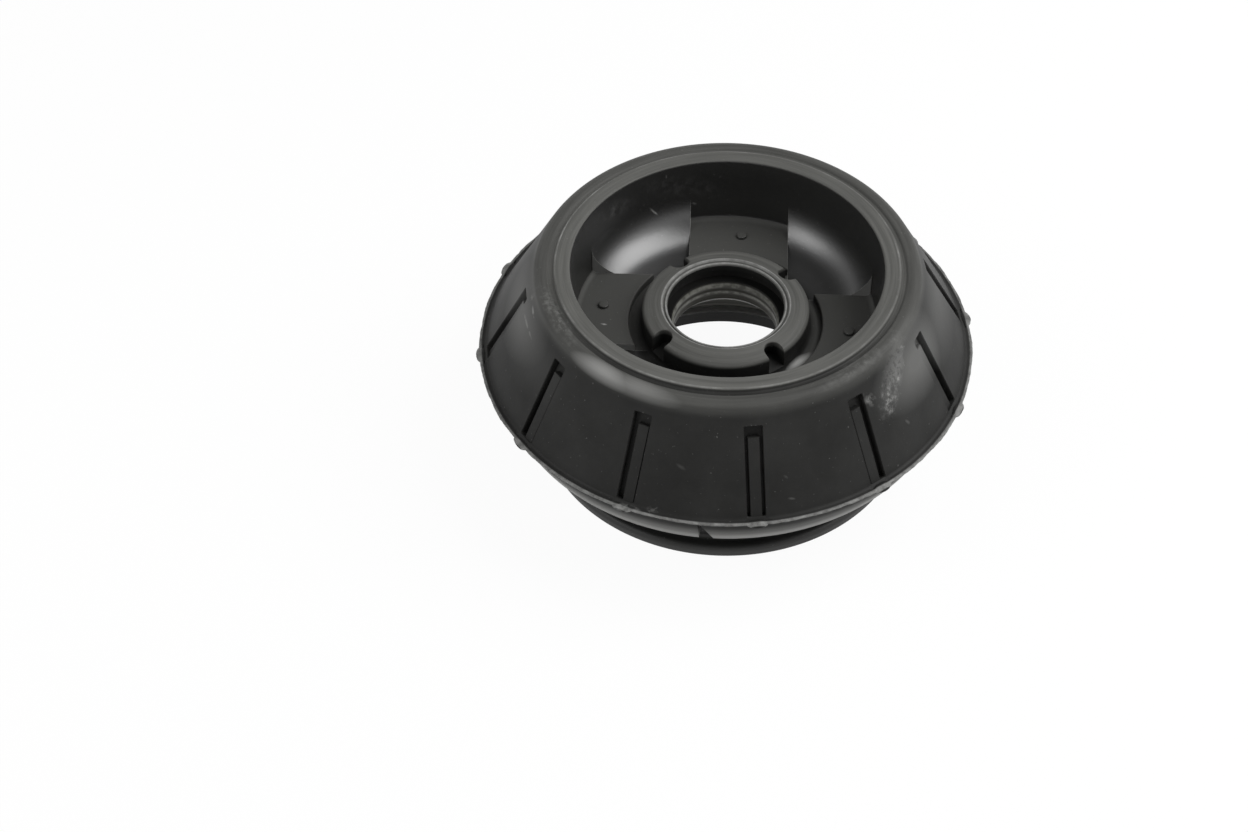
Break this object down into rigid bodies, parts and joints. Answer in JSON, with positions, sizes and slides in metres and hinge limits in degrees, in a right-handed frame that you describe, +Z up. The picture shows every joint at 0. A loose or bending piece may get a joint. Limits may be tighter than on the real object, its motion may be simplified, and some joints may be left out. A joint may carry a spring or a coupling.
{
  "type": "strut mount",
  "caption": "Conical rubber strut mount with a grooved cone, an open bowl with a notched hub ring, and a bonded steel insert with a central bore and a bearing seat below.",
  "frame": {"origin": "centre of the foot, on the plane the foot stands on", "axes": "+Z up along the mount's axis, from the foot to the mouth of the bowl; the skirt's notch faces -Y"},
  "size_m": [0.126, 0.126, 0.0548],
  "materials": {
    "moulded_rubber": "moulded, matte outside, satin in the bowl",
    "phosphated_steel": "pressed and phosphated, dark olive grey"
  },
  "bodies": {
    "root": {"rubber_body": "moulded_rubber", "steel_insert": "phosphated_steel"}
  },
  "joints": []
}
